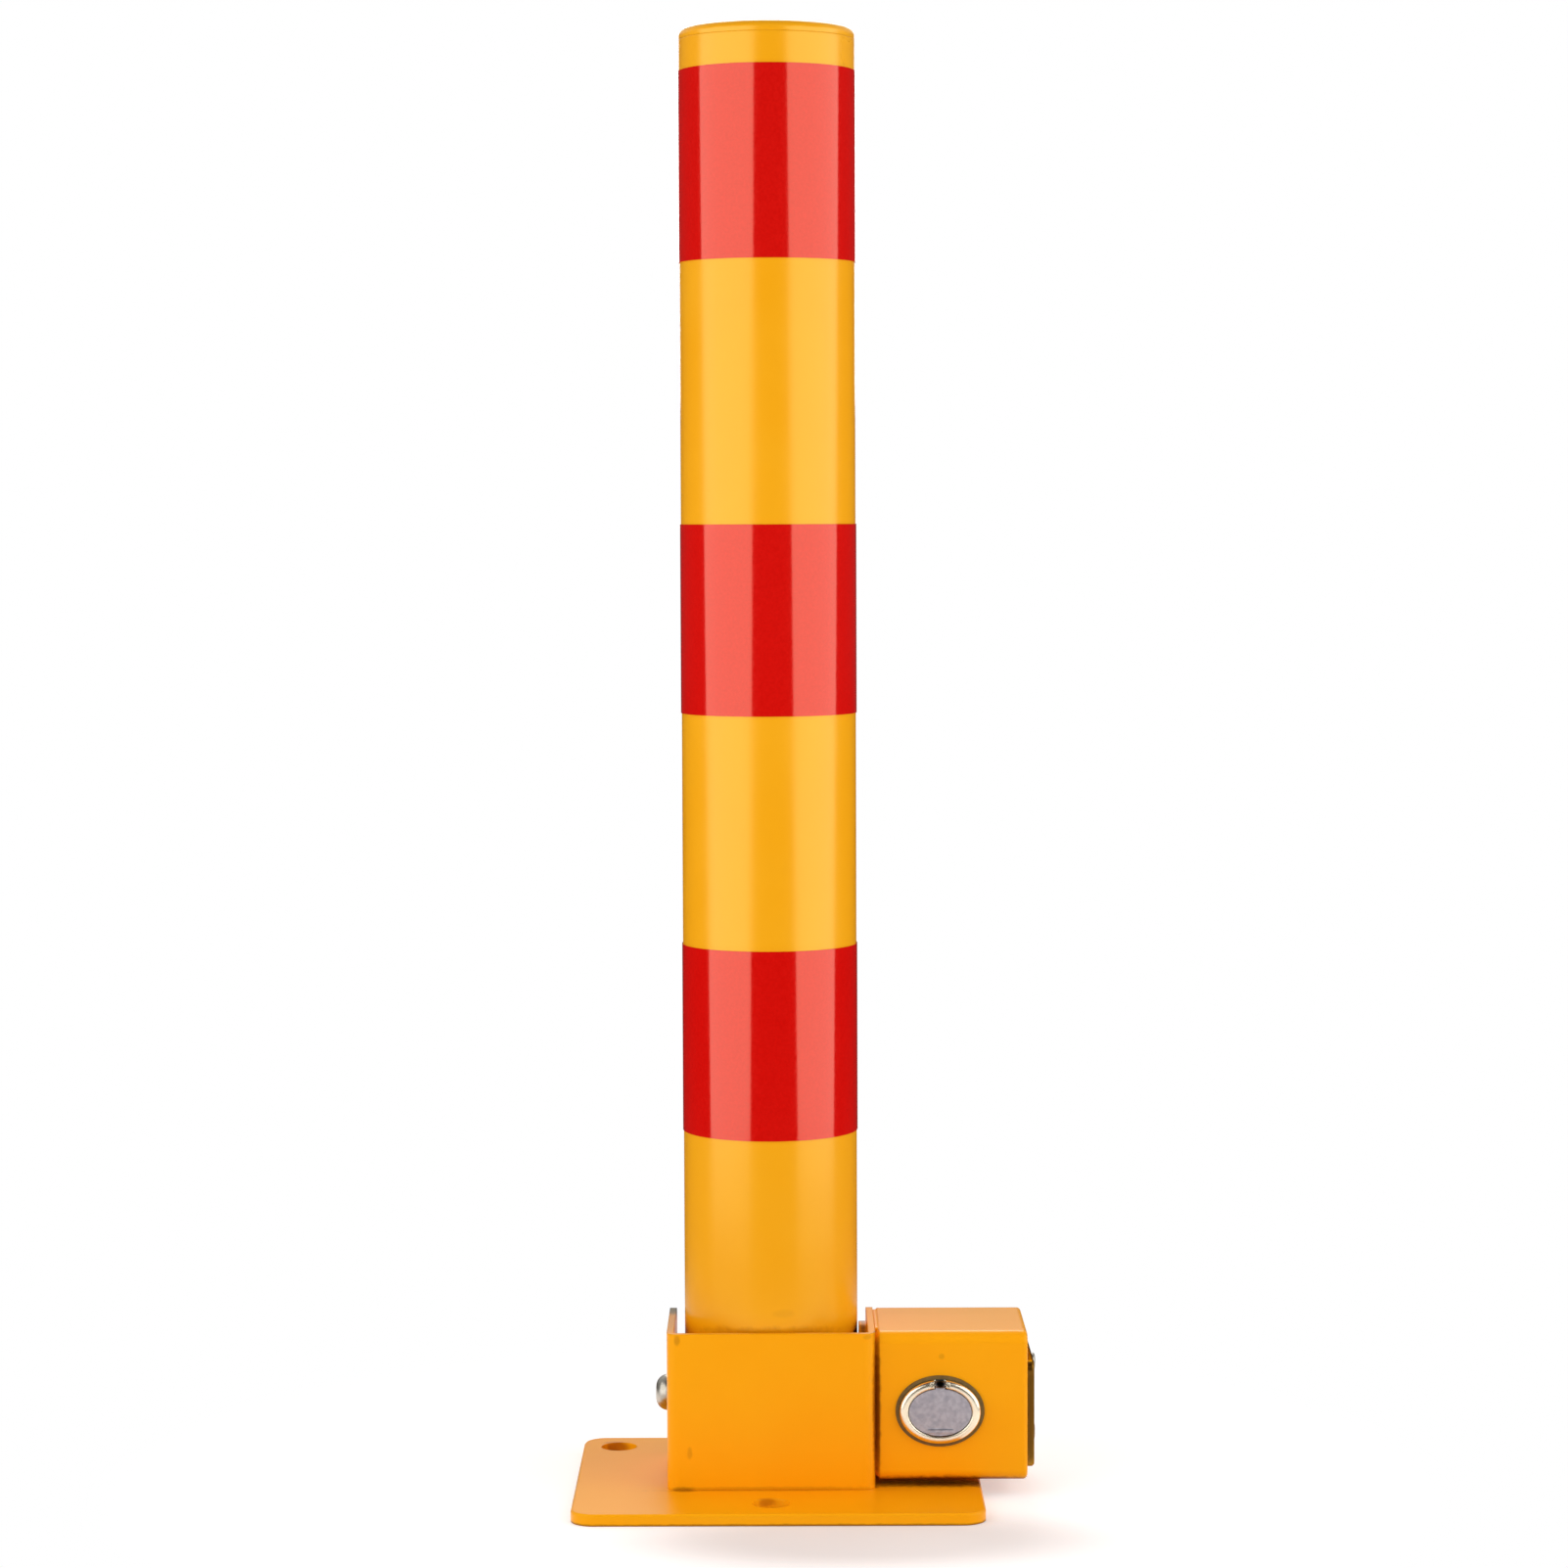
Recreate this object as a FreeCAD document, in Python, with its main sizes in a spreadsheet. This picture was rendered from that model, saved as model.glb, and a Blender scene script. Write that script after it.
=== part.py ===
import FreeCAD, Part
import os
import re
import Sketcher

# Folding parking post: a steel tube with reflective bands stands in a folded bracket on a base plate.
# It folds back about a hinge bolt, and a key lock on the right throws a deadbolt into the tube's wall.
# Millimetres. The origin is on the ground under the post's axis, +X is the lock's side,
# +Y is the way the post folds and +Z is up.

doc = FreeCAD.newDocument("parking_post")
dims = doc.addObject("Spreadsheet::Sheet", "dims")

SIZES = {
    # Base plate
    "plate_width": 176,
    "plate_depth": 143,
    "plate_thick": 5,
    "plate_corner": 10,
    "plate_edge": 0.8,
    "plate_left": 85,
    "plate_front": 85,
    "anchor_dia": 16,
    "anchor_from_front": 19,
    "anchor_from_rear": 18,
    "anchor_from_left": 16,
    "anchor_from_right": 22,
    # Post
    "post_height": 634,
    "tube_od": 76,
    "tube_wall": 2,
    "cap_thick": 4.5,
    "cap_edge": 3,
    "cap_spigot": 8,
    "cap_skirt": 2,
    "cap_fit": 0.3,
    # Reflective bands
    "band_height": 82,
    "band_thick": 0.3,
    "band_glue": 0.05,
    "band_top_drop": 18,
    "band_upper_gap": 113,
    "band_lower_gap": 101,
    # Hinge bracket
    "bracket_sheet": 3,
    "bracket_height": 68,
    "bracket_back": 22,
    "bracket_bend": 5,
    "cheek_corner": 6,
    "side_gap": 4,
    "front_gap": 1.5,
    # Hinge
    "hinge_back": 10,
    "lie_gap": 3.5,
    "swing_gap": 0.45,
    "hinge_dia": 10,
    "hinge_fit": 0.08,
    "hinge_head": 16,
    "hinge_head_high": 6.2,
    "hinge_thread": 8,
    "hinge_tail": 2.5,
    "sleeve_od": 15,
    "sleeve_play": 0.5,
    "weld_gap": 0.1,
    "washer_od": 16,
    "washer_thick": 1.6,
    "nut_flats": 13,
    "nut_high": 6.5,
    "thread_gap": 0.1,
    # Lock housing
    "box_width": 66,
    "box_height": 65.2,
    "box_lift": 2.3,
    "box_wall": 3,
    "box_corner": 5,
    "weld_land": 1,
    "end_land": 1,
    "cover_side": 2.5,
    "cover_low": 5.2,
    "cover_drop": 13.5,
    "cover_thick": 3,
    "cover_corner": 4,
    "cover_edge": 0.8,
    "tab_thick": 3,
    "tab_edge": 5,
    "tab_inset": 2,
    "screw_dia": 4,
    "screw_hole": 4.5,
    "screw_head": 7.6,
    "screw_head_high": 1.8,
    "screw_head_edge": 1,
    "screw_length": 6,
    "screw_from_top": 5.5,
    "screw_from_low": 10,
    # Lock
    "lock_out": 28,
    "lock_up": 31,
    "flange_width": 35.2,
    "flange_height": 27.8,
    "flange_thick": 4,
    "flange_round": 1.8,
    "gasket_rim": 1.6,
    "gasket_thick": 0.8,
    "gasket_gap": 0.1,
    "recess_width": 27.8,
    "recess_height": 21.4,
    "recess_deep": 2.3,
    "shank_dia": 22,
    "shank_long": 15.5,
    "shank_fit": 0.1,
    "lock_nut_flats": 27,
    "lock_nut_high": 4,
    "plug_dia": 14,
    "plug_fit": 0.08,
    "plug_tail": 2,
    "keyway_wide": 2.2,
    "keyway_high": 8.5,
    "keyway_deep": 13,
    "plug_turn": 90,
    "cam_thick": 3,
    "cam_hub": 12,
    "cam_radius": 10,
    "drive_pin": 4,
    "cam_screw_dia": 4,
    "cam_screw_long": 7,
    "cam_screw_head": 7.5,
    "cam_screw_head_high": 2.5,
    # Key cover
    "cover_gap": 0.4,
    "cover_under": 0.6,
    "flap_thick": 1.4,
    "flap_pin_dia": 1.6,
    "flap_pin_long": 8,
    "flap_pin_fit": 0.05,
    "flap_pin_up": 12,
    "flap_pin_out": 2.8,
    "knuckle_dia": 3,
    "knuckle_long": 4,
    "lip_wide": 11,
    "lip_high": 1.6,
    "lip_out": 0.6,
    "lip_up": 1.2,
    "notch_side": 0.5,
    "notch_under": 0.4,
    # Deadbolt
    "bolt_dia": 12,
    "bolt_fit": 0.08,
    "bolt_entry": 0.5,
    "bolt_front": 8,
    "bolt_up": 23.7,
    "bolt_tip": 1.5,
    "bolt_recess": 2,
    "bolt_rear_gap": 1,
    "lug_wide": 10,
    "lug_thick": 5,
    "slot_gap": 0.55,
    "slot_end": 0.6,
    "guide_thick": 3,
    "guide_gap": 2,
    "guide_rim": 3,
    "collar_rim": 3.5,
    "collar_gap": 0.5,
}

for row, (alias, size) in enumerate(SIZES.items(), start=1):
    dims.set(f"A{row}", alias)
    dims.set(f"B{row}", str(size))
    dims.setAlias(f"B{row}", alias)
doc.recompute()

# Places worked out from the driving dimensions, as texts that the sheet can evaluate
PLATE_RIGHT = "(plate_width - plate_left)"
PLATE_REAR = "(plate_depth - plate_front)"
TUBE_R = "(tube_od / 2)"
BORE_R = "(tube_od / 2 - tube_wall)"
CHEEK_IN = f"({TUBE_R} + side_gap)"
CHEEK_OUT = f"({CHEEK_IN} + bracket_sheet)"
PANEL_IN = f"({TUBE_R} + front_gap)"
PANEL_OUT = f"({PANEL_IN} + bracket_sheet)"
BRACKET_TOP = "(plate_thick + bracket_height)"

# The folded tube lies lie_gap above the plate, and its foot clears the panel by swing_gap on the way
HINGE_Y = "hinge_back"
HINGE_Z = f"(plate_thick + lie_gap + {TUBE_R} - hinge_back)"
FOOT_DROP = f"sqrt(({PANEL_IN} + hinge_back - swing_gap)^2 - ({TUBE_R} + hinge_back)^2)"
FOOT_Z = f"({HINGE_Z} - {FOOT_DROP})"
CAP_SEAT = "(post_height - cap_thick)"
BAND_TOP_LOW = "(post_height - band_top_drop - band_height)"
BAND_MIDDLE_LOW = f"({BAND_TOP_LOW} - band_upper_gap - band_height)"
BAND_BOTTOM_LOW = f"({BAND_MIDDLE_LOW} - band_lower_gap - band_height)"
SLEEVE_HALF = f"({CHEEK_IN} - sleeve_play)"
HINGE_HOLE = "(hinge_dia + 2 * hinge_fit)"

# The housing sits on the flat of the right cheek, behind the bend
BOX_FRONT = f"({PANEL_OUT} - bracket_bend)"
BOX_LOW = "(plate_thick + box_lift)"
BOX_TOP = f"({BOX_LOW} + box_height)"
BOX_END = f"({CHEEK_OUT} + box_width)"
BOX_MID_Y = f"((bracket_back - {BOX_FRONT}) / 2)"
BOX_BACK_IN = "(bracket_back - box_wall)"
BOX_TOP_IN = f"({BOX_TOP} - box_wall)"
COVER_LOW = f"({BOX_LOW} + cover_low)"
COVER_TOP = f"({BOX_TOP} - cover_drop)"
SCREW_ROWS = (f"({COVER_LOW} + screw_from_low)", f"({COVER_TOP} - screw_from_top)")

# The lock's frame: on the housing's front face, at the plug's axis
LOCK_X = f"({CHEEK_OUT} + lock_out)"
LOCK_Z = f"({BOX_LOW} + lock_up)"
RECESS_FLOOR = "(flange_thick - recess_deep)"
PLUG_REAR = "(shank_long + plug_tail)"
CAM_REAR = f"({PLUG_REAR} + cam_thick)"
NOTCH_DEEP = "(flange_thick - flap_pin_out + knuckle_dia / 2 + notch_under)"
NOTCH_HALF = "(knuckle_long / 2 + notch_side)"

# The deadbolt's bar runs above the plug, and its lug hangs in front of the cam's drive pin
BOLT_Z = f"({LOCK_Z} + bolt_up)"
BOLT_TIP_X = f"({CHEEK_OUT} - bolt_recess)"
BOLT_REAR_X = f"({BOX_END} - tab_thick - bolt_rear_gap)"
BOLT_BORE = "(bolt_dia + 2 * bolt_fit)"
PIN_SIDE = "(cam_radius * sin(plug_turn * 0.5 deg))"
PIN_UP = "(cam_radius * cos(plug_turn * 0.5 deg))"
LUG_X = f"({LOCK_X} + {PIN_SIDE})"
SLOT_TOP = "(cam_radius + drive_pin / 2 + slot_end)"
SLOT_LOW = f"({PIN_UP} - drive_pin / 2 - slot_end)"
PIN_REACH = f"({BOX_FRONT} - bolt_front + lug_thick / 2 - {CAM_REAR} + slot_end)"


def value(text):
    """Size that a text of aliases stands for."""
    return float(dims.evalExpression(text))


def bound(text):
    """The same text with each alias read from the sheet."""
    return re.sub(r"\b(?!deg\b)([a-z]\w*)\b(?!\()", r"dims.\1", text)


def new_body(label, x="0", y="0", z="0"):
    """Body of one piece, with its frame at a place given by the sheet."""
    body = doc.addObject("PartDesign::Body", label)
    body.Label = label
    for axis, text in (("x", x), ("y", y), ("z", z)):
        body.setExpression(f"Placement.Base.{axis}", bound(text))
    return body


def new_sketch(body, plane, lift="0"):
    """Sketch on one of the body's own planes, lifted along the plane's normal."""
    sketch = body.newObject("Sketcher::SketchObject", f"{body.Label}_sketch")
    sketch.AttachmentSupport = (next(f for f in body.Origin.OriginFeatures if f.Role == plane), "")
    sketch.MapMode = "FlatFace"
    sketch.setExpression("AttachmentOffset.Base.z", bound(lift))
    return sketch


def constrain(sketch, text, kind, *places):
    """Dimension in a sketch, tied to the sheet."""
    index = sketch.addConstraint(Sketcher.Constraint(kind, *places, value(text)))
    sketch.setExpression(f"Constraints[{index}]", bound(text))


def pin_point(sketch, geometry, point, x, y):
    """Holds one point of a sketch at a place given by the sheet."""
    constrain(sketch, x, "DistanceX", -1, 1, geometry, point)
    constrain(sketch, y, "DistanceY", -1, 1, geometry, point)


def polygon(sketch, corners):
    """Closed outline of straight lines through its corners."""
    first = sketch.GeometryCount
    points = [FreeCAD.Vector(value(x), value(y), 0) for x, y in corners]
    for start, end in zip(points, points[1:] + points[:1]):
        sketch.addGeometry(Part.LineSegment(start, end))
    for i, (x, y) in enumerate(corners):
        following = first + (i + 1) % len(corners)
        sketch.addConstraint(Sketcher.Constraint("Coincident", first + i, 2, following, 1))
        pin_point(sketch, first + i, 1, x, y)


def rectangle(sketch, left, low, right, top):
    """Upright rectangle between two corners."""
    polygon(sketch, [(left, low), (right, low), (right, top), (left, top)])


def circle(sketch, x, y, diameter):
    """Circle about a point."""
    centre = FreeCAD.Vector(value(x), value(y), 0)
    index = sketch.addGeometry(Part.Circle(centre, FreeCAD.Vector(0, 0, 1), value(diameter) / 2))
    pin_point(sketch, index, 3, x, y)
    constrain(sketch, diameter, "Diameter", index)


def oval(sketch, width, height):
    """Ellipse about the sketch's origin, with its long axis level."""
    index = sketch.addGeometry(Part.Ellipse(FreeCAD.Vector(), value(width) / 2, value(height) / 2))
    sketch.exposeInternalGeometry(index)
    long_axis, short_axis = index + 1, index + 2
    sketch.addConstraint(Sketcher.Constraint("Coincident", index, 3, -1, 1))
    sketch.addConstraint(Sketcher.Constraint("Horizontal", long_axis))
    constrain(sketch, width, "Distance", long_axis)
    constrain(sketch, height, "Distance", short_axis)


def hexagon(sketch, flats):
    """Regular hexagon about the sketch's origin, by its width across flats."""
    side = f"(({flats}) / sqrt(3))"
    half = f"(({flats}) / 2)"
    polygon(sketch, [
        (side, "0"), (f"{side} / 2", half), (f"-{side} / 2", half),
        (f"-{side}", "0"), (f"-{side} / 2", f"-{half}"), (f"{side} / 2", f"-{half}"),
    ])


def extrude(kind, sketch, length, side="One side", reverse=False):
    """Pad or Pocket of a sketch; a length of None goes through everything."""
    body = sketch.getParentGeoFeatureGroup()
    feature = body.newObject(f"PartDesign::{kind}", f"{body.Label}_{kind.lower()}")
    feature.Profile = sketch
    feature.SideType = side
    feature.Reversed = reverse
    if length is None:
        feature.Type = "ThroughAll"
    else:
        feature.setExpression("Length", bound(length))
    return feature


def revolve(sketch, axis):
    """Full turn of a sketch about one of its own axes."""
    body = sketch.getParentGeoFeatureGroup()
    feature = body.newObject("PartDesign::Revolution", f"{body.Label}_turned")
    feature.Profile = sketch
    feature.ReferenceAxis = (sketch, [axis])
    feature.Angle = 360
    return feature


def dress(kind, body, size, wanted):
    """Fillet or Chamfer on the edges of the body's tip that the test picks by their middle point."""
    doc.recompute()
    base = body.Tip
    names = []
    for number, edge in enumerate(base.Shape.Edges, start=1):
        middle = edge.valueAt((edge.FirstParameter + edge.LastParameter) / 2)
        if wanted(edge, middle):
            names.append(f"Edge{number}")
    feature = body.newObject(f"PartDesign::{kind}", f"{body.Label}_{kind.lower()}")
    feature.Base = (base, names)
    feature.setExpression("Radius" if kind == "Fillet" else "Size", bound(size))
    return feature


def runs_along(edge, axis):
    """True for a straight edge along one axis."""
    if not isinstance(edge.Curve, (Part.Line, Part.LineSegment)):
        return False
    return abs(abs(getattr(edge.tangentAt(edge.FirstParameter), axis)) - 1) < 1e-6


def near(number, text):
    """True where a coordinate is at a place given by the sheet."""
    return abs(number - value(text)) < 1e-4


def make_base_plate():
    rear_row = f"{PLATE_REAR} - anchor_from_rear"
    body = new_body("base_plate")
    sketch = new_sketch(body, "XY_Plane")
    rectangle(sketch, "-plate_left", "-plate_front", PLATE_RIGHT, PLATE_REAR)
    extrude("Pad", sketch, "plate_thick")
    dress("Fillet", body, "plate_corner", lambda edge, at: runs_along(edge, "z"))
    dress("Chamfer", body, "plate_edge", lambda edge, at: near(at.z, "plate_thick"))
    sketch = new_sketch(body, "XY_Plane")
    circle(sketch, "0", "anchor_from_front - plate_front", "anchor_dia")
    circle(sketch, "anchor_from_left - plate_left", rear_row, "anchor_dia")
    circle(sketch, f"{PLATE_RIGHT} - anchor_from_right", rear_row, "anchor_dia")
    extrude("Pocket", sketch, None, side="Symmetric")
    return body


def make_hinge_bracket():
    body = new_body("hinge_bracket")
    sketch = new_sketch(body, "XY_Plane", "plate_thick")
    polygon(sketch, [
        (f"-{CHEEK_OUT}", "bracket_back"), (f"-{CHEEK_OUT}", f"-{PANEL_OUT}"),
        (CHEEK_OUT, f"-{PANEL_OUT}"), (CHEEK_OUT, "bracket_back"),
        (CHEEK_IN, "bracket_back"), (CHEEK_IN, f"-{PANEL_IN}"),
        (f"-{CHEEK_IN}", f"-{PANEL_IN}"), (f"-{CHEEK_IN}", "bracket_back"),
    ])
    extrude("Pad", sketch, "bracket_height")
    dress("Fillet", body, "bracket_bend",
          lambda edge, at: runs_along(edge, "z") and near(at.y, f"-{PANEL_OUT}"))
    dress("Fillet", body, "bracket_bend - bracket_sheet",
          lambda edge, at: runs_along(edge, "z") and near(at.y, f"-{PANEL_IN}"))
    dress("Fillet", body, "cheek_corner",
          lambda edge, at: runs_along(edge, "x") and near(at.y, "bracket_back") and near(at.z, BRACKET_TOP))
    sketch = new_sketch(body, "YZ_Plane")
    circle(sketch, HINGE_Y, HINGE_Z, HINGE_HOLE)
    extrude("Pocket", sketch, None, side="Symmetric")
    sketch = new_sketch(body, "YZ_Plane")
    circle(sketch, "-bolt_front", BOLT_Z, BOLT_BORE)
    extrude("Pocket", sketch, None, reverse=True)
    return body


def make_post_tube():
    body = new_body("post_tube")
    sketch = new_sketch(body, "XY_Plane", FOOT_Z)
    circle(sketch, "0", "0", "tube_od")
    circle(sketch, "0", "0", f"2 * {BORE_R}")
    extrude("Pad", sketch, f"{CAP_SEAT} - {FOOT_Z}")
    sketch = new_sketch(body, "YZ_Plane")
    circle(sketch, HINGE_Y, HINGE_Z, "sleeve_od + 2 * weld_gap")
    extrude("Pocket", sketch, None, side="Symmetric")
    sketch = new_sketch(body, "YZ_Plane")
    circle(sketch, "-bolt_front", BOLT_Z, "bolt_dia + 2 * bolt_entry")
    extrude("Pocket", sketch, None, reverse=True)
    return body


def make_post_cap():
    spigot_r = f"({BORE_R} - cap_fit)"
    hollow_r = f"({spigot_r} - cap_skirt)"
    body = new_body("post_cap", z=CAP_SEAT)
    sketch = new_sketch(body, "XZ_Plane")
    polygon(sketch, [
        ("0", "0"), ("0", "cap_thick"), (TUBE_R, "cap_thick"), (TUBE_R, "0"),
        (spigot_r, "0"), (spigot_r, "-cap_spigot"), (hollow_r, "-cap_spigot"), (hollow_r, "0"),
    ])
    revolve(sketch, "V_Axis")
    dress("Fillet", body, "cap_edge",
          lambda edge, at: near(at.z, "cap_thick") and near(edge.BoundBox.XMax, TUBE_R))
    return body


def make_band(label, low):
    body = new_body(label, z=low)
    sketch = new_sketch(body, "XY_Plane")
    circle(sketch, "0", "0", "tube_od + 2 * band_glue")
    circle(sketch, "0", "0", "tube_od + 2 * (band_glue + band_thick)")
    extrude("Pad", sketch, "band_height")
    return body


def make_hinge_sleeve():
    body = new_body("hinge_sleeve", y=HINGE_Y, z=HINGE_Z)
    sketch = new_sketch(body, "YZ_Plane")
    circle(sketch, "0", "0", "sleeve_od")
    circle(sketch, "0", "0", HINGE_HOLE)
    extrude("Pad", sketch, f"2 * {SLEEVE_HALF}", side="Symmetric")
    return body


def make_hinge_bolt():
    head_r = "(hinge_head / 2)"
    shank_r = "(hinge_dia / 2)"
    thread_r = "(hinge_thread / 2)"
    end = f"({CHEEK_OUT} + washer_thick + nut_high + hinge_tail)"
    body = new_body("hinge_bolt", y=HINGE_Y, z=HINGE_Z)
    sketch = new_sketch(body, "XY_Plane")
    polygon(sketch, [
        (f"-{CHEEK_OUT} - hinge_head_high", "0"), (f"-{CHEEK_OUT} - hinge_head_high", head_r),
        (f"-{CHEEK_OUT}", head_r), (f"-{CHEEK_OUT}", shank_r), (CHEEK_OUT, shank_r),
        (CHEEK_OUT, thread_r), (end, thread_r), (end, "0"),
    ])
    revolve(sketch, "H_Axis")
    dress("Fillet", body, "hinge_head_high - plate_edge",
          lambda edge, at: near(edge.BoundBox.XMin, f"-{CHEEK_OUT} - hinge_head_high")
          and near(edge.BoundBox.XMax, f"-{CHEEK_OUT} - hinge_head_high"))
    return body


def make_hinge_washer():
    body = new_body("hinge_washer", x=CHEEK_OUT, y=HINGE_Y, z=HINGE_Z)
    sketch = new_sketch(body, "YZ_Plane")
    circle(sketch, "0", "0", "washer_od")
    circle(sketch, "0", "0", "hinge_thread + 4 * thread_gap")
    extrude("Pad", sketch, "washer_thick")
    return body


def make_hinge_nut():
    body = new_body("hinge_nut", x=f"{CHEEK_OUT} + washer_thick", y=HINGE_Y, z=HINGE_Z)
    sketch = new_sketch(body, "YZ_Plane")
    hexagon(sketch, "nut_flats")
    circle(sketch, "0", "0", "hinge_thread + 2 * thread_gap")
    extrude("Pad", sketch, "nut_high")
    return body


def make_lock_housing():
    body = new_body("lock_housing", x=CHEEK_OUT)
    sketch = new_sketch(body, "YZ_Plane")
    rectangle(sketch, f"-{BOX_FRONT}", BOX_LOW, "bracket_back", BOX_TOP)
    extrude("Pad", sketch, "box_width")
    dress("Fillet", body, "box_corner", lambda edge, at: runs_along(edge, "x"))
    dress("Chamfer", body, "box_wall - weld_land", lambda edge, at: near(at.x, "0"))
    dress("Fillet", body, "box_wall - end_land", lambda edge, at: near(at.x, "box_width"))
    sketch = new_sketch(body, "YZ_Plane")
    rectangle(sketch, f"-{BOX_FRONT} + box_wall", f"{BOX_LOW} + box_wall",
              BOX_BACK_IN, BOX_TOP_IN)
    extrude("Pocket", sketch, None, side="Symmetric")
    dress("Fillet", body, "box_corner - box_wall",
          lambda edge, at: runs_along(edge, "x") and (near(at.y, BOX_BACK_IN)
                                                      or near(at.y, f"-{BOX_FRONT} + box_wall")))
    sketch = new_sketch(body, "XZ_Plane")
    circle(sketch, "lock_out", LOCK_Z, "shank_dia + 2 * shank_fit")
    extrude("Pocket", sketch, None, reverse=True)
    return body


def make_cover_tabs():
    half = f"((bracket_back + {BOX_FRONT}) / 2 - box_wall - tab_inset)"
    low_row, top_row = SCREW_ROWS
    body = new_body("cover_tabs", x=f"{BOX_END} - tab_thick", y=BOX_MID_Y)
    body.AllowCompound = True
    sketch = new_sketch(body, "YZ_Plane")
    rectangle(sketch, f"-{half}", f"{BOX_LOW} + box_wall", half, f"{low_row} + tab_edge")
    rectangle(sketch, f"-{half}", f"{top_row} - tab_edge", half, BOX_TOP_IN)
    for row in SCREW_ROWS:
        circle(sketch, "0", row, "screw_dia + 2 * thread_gap")
    extrude("Pad", sketch, "tab_thick")
    return body


def make_end_cover():
    half = f"((bracket_back + {BOX_FRONT}) / 2 - cover_side)"
    body = new_body("end_cover", x=BOX_END, y=BOX_MID_Y)
    sketch = new_sketch(body, "YZ_Plane")
    rectangle(sketch, f"-{half}", COVER_LOW, half, COVER_TOP)
    extrude("Pad", sketch, "cover_thick")
    dress("Fillet", body, "cover_corner", lambda edge, at: runs_along(edge, "x"))
    dress("Chamfer", body, "cover_edge", lambda edge, at: near(at.x, "cover_thick"))
    sketch = new_sketch(body, "YZ_Plane")
    for row in SCREW_ROWS:
        circle(sketch, "0", row, "screw_hole")
    extrude("Pocket", sketch, None, side="Symmetric")
    return body


def make_end_cover_screws():
    body = new_body("end_cover_screws", x=f"{BOX_END} + cover_thick", y=BOX_MID_Y)
    body.AllowCompound = True
    sketch = new_sketch(body, "YZ_Plane")
    for row in SCREW_ROWS:
        circle(sketch, "0", row, "screw_dia")
    extrude("Pad", sketch, "screw_length", reverse=True)
    sketch = new_sketch(body, "YZ_Plane")
    for row in SCREW_ROWS:
        circle(sketch, "0", row, "screw_head")
    extrude("Pad", sketch, "screw_head_high")
    dress("Chamfer", body, "screw_head_edge", lambda edge, at: near(at.x, "screw_head_high"))
    return body


def make_bolt_guide():
    half = f"({BOLT_BORE} / 2 + guide_rim)"
    top = f"({BOX_TOP_IN} - weld_gap)"
    body = new_body("bolt_guide", x=f"{LUG_X} + lug_wide / 2 + guide_gap")
    sketch = new_sketch(body, "YZ_Plane")
    rectangle(sketch, f"-bolt_front - {half}", f"{BOLT_Z} - {half}", BOX_BACK_IN, top)
    circle(sketch, "-bolt_front", BOLT_Z, BOLT_BORE)
    extrude("Pad", sketch, "guide_thick")
    dress("Chamfer", body, "box_corner - box_wall",
          lambda edge, at: runs_along(edge, "x") and near(at.y, BOX_BACK_IN) and near(at.z, top))
    return body


def make_bolt_collar():
    body = new_body("bolt_collar", x=CHEEK_IN, y="-bolt_front", z=BOLT_Z)
    sketch = new_sketch(body, "YZ_Plane")
    circle(sketch, "0", "0", f"{BOLT_BORE} + 2 * collar_rim")
    circle(sketch, "0", "0", BOLT_BORE)
    extrude("Pad", sketch, "side_gap - collar_gap", reverse=True)
    return body


def lock_piece(label):
    """Body whose frame is on the housing's front face, at the plug's axis."""
    return new_body(label, x=LOCK_X, y=f"-{BOX_FRONT}", z=LOCK_Z)


def make_lock_body():
    body = lock_piece("lock_body")
    sketch = new_sketch(body, "XZ_Plane")
    oval(sketch, "flange_width", "flange_height")
    extrude("Pad", sketch, "flange_thick")
    sketch = new_sketch(body, "XZ_Plane", "flange_thick")
    oval(sketch, "recess_width", "recess_height")
    extrude("Pocket", sketch, "recess_deep")
    sketch = new_sketch(body, "XZ_Plane")
    circle(sketch, "0", "0", "shank_dia")
    extrude("Pad", sketch, "shank_long", reverse=True)
    sketch = new_sketch(body, "XZ_Plane")
    circle(sketch, "0", "0", "plug_dia + 2 * plug_fit")
    extrude("Pocket", sketch, None, side="Symmetric")
    sketch = new_sketch(body, "XZ_Plane", "flange_thick")
    rectangle(sketch, f"-{NOTCH_HALF}", "flap_pin_up - knuckle_dia",
              NOTCH_HALF, "flange_height / 2 + notch_side")
    extrude("Pocket", sketch, NOTCH_DEEP)
    sketch = new_sketch(body, "YZ_Plane")
    circle(sketch, "-flap_pin_out", "flap_pin_up", "flap_pin_dia + 2 * flap_pin_fit")
    extrude("Pocket", sketch, "flap_pin_long + 2 * flap_pin_fit", side="Symmetric")
    dress("Fillet", body, "flange_round",
          lambda edge, at: isinstance(edge.Curve, Part.Ellipse) and near(at.y, "-flange_thick")
          and near(edge.Curve.MajorRadius, "flange_width / 2"))
    return body


def make_lock_gasket():
    body = lock_piece("lock_gasket")
    sketch = new_sketch(body, "XZ_Plane")
    oval(sketch, "flange_width + 2 * gasket_rim", "flange_height + 2 * gasket_rim")
    extrude("Pad", sketch, "gasket_thick")
    sketch = new_sketch(body, "XZ_Plane")
    oval(sketch, "flange_width + 2 * gasket_gap", "flange_height + 2 * gasket_gap")
    extrude("Pocket", sketch, None, side="Symmetric")
    return body


def make_lock_nut():
    body = lock_piece("lock_nut")
    sketch = new_sketch(body, "XZ_Plane", "-box_wall")
    hexagon(sketch, "lock_nut_flats")
    circle(sketch, "0", "0", "shank_dia + 2 * thread_gap")
    extrude("Pad", sketch, "lock_nut_high", reverse=True)
    return body


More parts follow.
